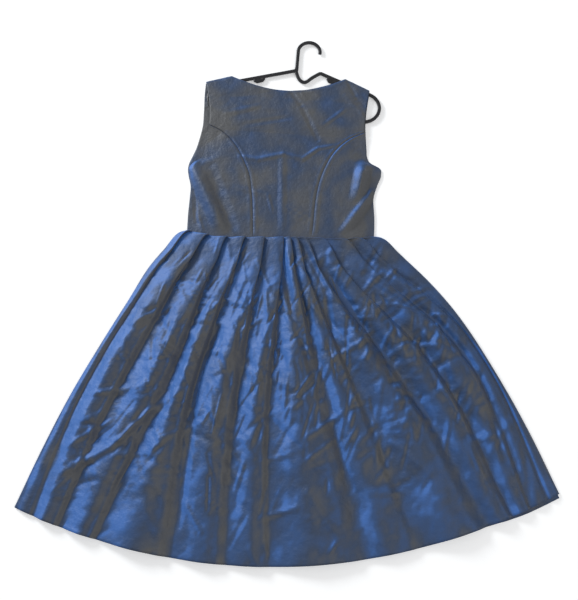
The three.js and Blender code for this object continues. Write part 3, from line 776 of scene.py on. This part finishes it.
def fused(piece):
    """The bars as one moulding: voxels join them, and smoothing softens their joints."""
    fuse = piece.modifiers.new("fuse", "REMESH")
    fuse.mode = "VOXEL"
    fuse.voxel_size = FUSE_VOXEL
    soften = piece.modifiers.new("soften", "SMOOTH")
    soften.factor = 0.5
    soften.iterations = 4
    graph = bpy.context.evaluated_depsgraph_get()
    mesh = bpy.data.meshes.new_from_object(piece.evaluated_get(graph))
    piece.modifiers.clear()
    piece.data = mesh
    mesh.polygons.foreach_set("use_smooth", [True] * len(mesh.polygons))
    return piece


def hanger():
    verts = []
    faces = []
    for route in hanger_routes():
        more, quads = rod(route)
        faces += [tuple(len(verts) + i for i in face) for face in quads]
        verts += more
    cosine = math.cos(HANGER["tilt"])
    sine = math.sin(HANGER["tilt"])
    turn = np.array([[cosine, -sine], [sine, cosine]])
    points = np.array(verts)
    points[:, :2] = points[:, :2] @ turn.T + (HANGER["x"], HANGER["y"])
    points[:, 2] += HANGER["level"]
    mesh = bpy.data.meshes.new("coat_hanger")
    mesh.from_pydata(metres(points).tolist(), [], faces)
    bm = bmesh.new()
    bm.from_mesh(mesh)
    bmesh.ops.recalc_face_normals(bm, faces=bm.faces)
    bm.to_mesh(mesh)
    bm.free()
    piece = bpy.data.objects.new("coat_hanger", mesh)
    bpy.context.scene.collection.objects.link(piece)
    return fused(piece)


# ---- materials ----
# Colours of the taffeta from its bluest tone to its greyest, each with its place from 0 to 1; the bluest end
# is the painted sheen where the cloth faces the window lamp.
TAFFETA_AND_SHEEN_COLOURS = [
    (0.0, (0.05, 0.155, 0.46, 1)),
    (0.2, (0.028, 0.078, 0.21, 1)),
    (0.55, (0.032, 0.055, 0.108, 1)),
    (0.92, (0.088, 0.09, 0.094, 1)),
]
BLOTCH = 0.5  # how far the fine blotches shift the tone, from end to end
SLUB = (90, 1100, 1)  # fineness of the threads across and along the cloth
TABLE_GLOW = 0.32  # what the table adds to its own white where it is seen or mirrored


def new_material(name):
    material = bpy.data.materials.new(name)
    material.use_nodes = True
    tree = material.node_tree
    return material, tree.nodes, tree.links, tree.nodes["Principled BSDF"]


def taffeta():
    """Shot taffeta: a painted blue sheen where it faces the window lamp, grey-brown where it leans away, and
    finely wrinkled.
    """
    material, nodes, links, skin = new_material("shot_taffeta")
    # Painted sheen and tone from the points' attribute, mixed with fine blotches and turned into colour.
    painted_sheen_and_tone = nodes.new("ShaderNodeAttribute")
    painted_sheen_and_tone.attribute_name = "painted_sheen_and_tone"
    place = nodes.new("ShaderNodeTexCoord")
    blotch = nodes.new("ShaderNodeTexNoise")
    blotch.inputs["Scale"].default_value = 14
    blotch.inputs["Detail"].default_value = 5
    links.new(place.outputs["Object"], blotch.inputs["Vector"])
    blend = nodes.new("ShaderNodeMath")
    blend.operation = "MULTIPLY_ADD"
    links.new(blotch.outputs["Fac"], blend.inputs[0])
    blend.inputs[1].default_value = BLOTCH
    lowered = nodes.new("ShaderNodeMath")
    lowered.operation = "SUBTRACT"
    links.new(painted_sheen_and_tone.outputs["Fac"], lowered.inputs[0])
    lowered.inputs[1].default_value = BLOTCH / 2
    links.new(lowered.outputs[0], blend.inputs[2])
    ramp = nodes.new("ShaderNodeValToRGB")
    stops = ramp.color_ramp.elements
    stops[0].position, stops[0].color = TAFFETA_AND_SHEEN_COLOURS[0]
    stops[1].position, stops[1].color = TAFFETA_AND_SHEEN_COLOURS[-1]
    for position, colour in TAFFETA_AND_SHEEN_COLOURS[1:-1]:
        stops.new(position).color = colour
    links.new(blend.outputs[0], ramp.inputs["Fac"])
    links.new(ramp.outputs["Color"], skin.inputs["Base Color"])
    skin.inputs["Roughness"].default_value = 0.5
    skin.inputs["Specular IOR Level"].default_value = 0.5
    skin.inputs["Sheen Weight"].default_value = 0.25
    skin.inputs["Sheen Roughness"].default_value = 0.4
    skin.inputs["Sheen Tint"].default_value = (0.25, 0.45, 1.0, 1)
    wrinkle = nodes.new("ShaderNodeTexNoise")
    wrinkle.inputs["Scale"].default_value = 55
    wrinkle.inputs["Detail"].default_value = 6
    wrinkle.inputs["Roughness"].default_value = 0.62
    links.new(place.outputs["Object"], wrinkle.inputs["Vector"])
    cloth = nodes.new("ShaderNodeUVMap")
    cloth.uv_map = "cloth"
    slub = nodes.new("ShaderNodeMapping")
    slub.inputs["Scale"].default_value = SLUB
    links.new(cloth.outputs["UV"], slub.inputs["Vector"])
    threads = nodes.new("ShaderNodeTexNoise")
    threads.inputs["Scale"].default_value = 1
    threads.inputs["Detail"].default_value = 2
    links.new(slub.outputs["Vector"], threads.inputs["Vector"])
    fine = nodes.new("ShaderNodeBump")
    fine.inputs["Strength"].default_value = 0.35
    fine.inputs["Distance"].default_value = 0.0002
    links.new(threads.outputs["Fac"], fine.inputs["Height"])
    bump = nodes.new("ShaderNodeBump")
    bump.inputs["Strength"].default_value = 0.85
    bump.inputs["Distance"].default_value = 0.004
    links.new(wrinkle.outputs["Fac"], bump.inputs["Height"])
    links.new(fine.outputs["Normal"], bump.inputs["Normal"])
    links.new(bump.outputs["Normal"], skin.inputs["Normal"])
    return material


def black_plastic():
    material, nodes, links, skin = new_material("black_moulded_plastic")
    place = nodes.new("ShaderNodeTexCoord")
    grain = nodes.new("ShaderNodeTexNoise")
    grain.inputs["Scale"].default_value = 900
    links.new(place.outputs["Object"], grain.inputs["Vector"])
    tone = nodes.new("ShaderNodeValToRGB")
    tone.color_ramp.elements[0].color = (0.008, 0.008, 0.010, 1)
    tone.color_ramp.elements[1].color = (0.018, 0.018, 0.021, 1)
    links.new(grain.outputs["Fac"], tone.inputs["Fac"])
    links.new(tone.outputs["Color"], skin.inputs["Base Color"])
    skin.inputs["Roughness"].default_value = 0.34
    bump = nodes.new("ShaderNodeBump")
    bump.inputs["Strength"].default_value = 0.15
    bump.inputs["Distance"].default_value = 0.0002
    links.new(grain.outputs["Fac"], bump.inputs["Height"])
    links.new(bump.outputs["Normal"], skin.inputs["Normal"])
    return material


def white_table():
    """White to the camera, with the dress's soft shadow on it."""
    material, nodes, links, skin = new_material("white_table")
    skin.inputs["Base Color"].default_value = (0.88, 0.88, 0.88, 1)
    skin.inputs["Roughness"].default_value = 0.9
    skin.inputs["Specular IOR Level"].default_value = 0.1
    path = nodes.new("ShaderNodeLightPath")
    seen = nodes.new("ShaderNodeMath")
    seen.operation = "MAXIMUM"
    links.new(path.outputs["Is Camera Ray"], seen.inputs[0])
    links.new(path.outputs["Is Glossy Ray"], seen.inputs[1])
    glow = nodes.new("ShaderNodeEmission")
    glow.inputs["Strength"].default_value = TABLE_GLOW
    none = nodes.new("ShaderNodeEmission")
    none.inputs["Strength"].default_value = 0.0
    choose = nodes.new("ShaderNodeMixShader")
    links.new(seen.outputs[0], choose.inputs["Fac"])
    links.new(none.outputs[0], choose.inputs[1])
    links.new(glow.outputs[0], choose.inputs[2])
    add = nodes.new("ShaderNodeAddShader")
    links.new(skin.outputs[0], add.inputs[0])
    links.new(choose.outputs[0], add.inputs[1])
    links.new(add.outputs[0], nodes["Material Output"].inputs["Surface"])
    return material


# ---- the dress ----
cloth_finish = taffeta()
PIECES = [
    (bodice_back_centre(), "bodice_back_centre", (0.42, 0.45), ["coat_hanger", "bodice_front_left_cloth"]),
    (bodice_back_side(-1), "bodice_back_side_left", (0.18, 0.31), ["bodice_front_left_cloth"]),
    (bodice_back_side(1), "bodice_back_side_right", (0.19, 0.29), ["bodice_front_right_cloth"]),
    (bodice_front(-1), "bodice_front_left", (0.235, 0.445), []),
    (bodice_front(1), "bodice_front_right", (0.255, 0.435), []),
    (skirt_back(), "skirt_back", (1.36, 0.80), ["skirt_front_cloth"]),
    (skirt_front(), "skirt_front", (1.30, 0.78), []),
]
hanger_piece = hanger()
hanger_piece.data.materials.clear()
hanger_piece.data.materials.append(black_plastic())


for piece, node, flat, rests in PIECES:
    piece.data.materials.append(cloth_finish)
    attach(piece, "root")
    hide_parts(node)

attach(hanger_piece, "root")
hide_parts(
    "hanger_hook", "hanger_neck", "hanger_arm_left", "hanger_arm_right", "hanger_end_left",
    "hanger_end_right", "hanger_lug_left", "hanger_lug_right", "hanger_bar",
)

# ---- stage ----
TABLE_SIZE = 14
TABLE_BELOW = 0.0005  # how far the table's top is under the part's underside
bpy.ops.mesh.primitive_plane_add(size=TABLE_SIZE, location=(0, 0, -TABLE_BELOW))
table = bpy.context.object
table.name = "table"
table.data.materials.append(white_table())


def lamp(name, place, aim, size, power, colour):
    light = bpy.data.lights.new(name, "AREA")
    light.shape = "DISK"
    light.size = size
    light.energy = power
    light.color = colour
    holder = bpy.data.objects.new(name, light)
    holder.location = place
    holder.rotation_euler = (Vector(aim) - Vector(place)).to_track_quat("-Z", "Y").to_euler()
    bpy.context.scene.collection.objects.link(holder)


lamp("window", place=(-2.6, 2.3, 1.7), aim=(0, -0.1, 0), size=1.2, power=105, colour=(0.95, 0.98, 1.0))
lamp("room", place=(2.2, -1.6, 2.8), aim=(0, 0, 0), size=2.6, power=30, colour=(1.0, 0.98, 0.95))
world = bpy.data.worlds.new("soft_room")
world.use_nodes = True
sky = world.node_tree.nodes["Background"]
sky.inputs["Color"].default_value = (0.95, 0.97, 1.0, 1)
sky.inputs["Strength"].default_value = 0.45
bpy.context.scene.world = world

CAMERA_FROM_WAIST = (0.0195, -0.6239)
CAMERA_HEIGHT = 1.746
CAMERA_TILT = math.radians(15)
view = bpy.data.cameras.new("camera")
view.lens = 45.6
view.sensor_width = 36
camera = bpy.data.objects.new("camera", view)
camera.location = (ORIGIN[0] + CAMERA_FROM_WAIST[0], ORIGIN[1] + CAMERA_FROM_WAIST[1], CAMERA_HEIGHT)
camera.rotation_euler = (CAMERA_TILT, 0, 0)
bpy.context.scene.collection.objects.link(camera)
bpy.context.scene.camera = camera
bpy.context.scene.view_settings.view_transform = "Standard"
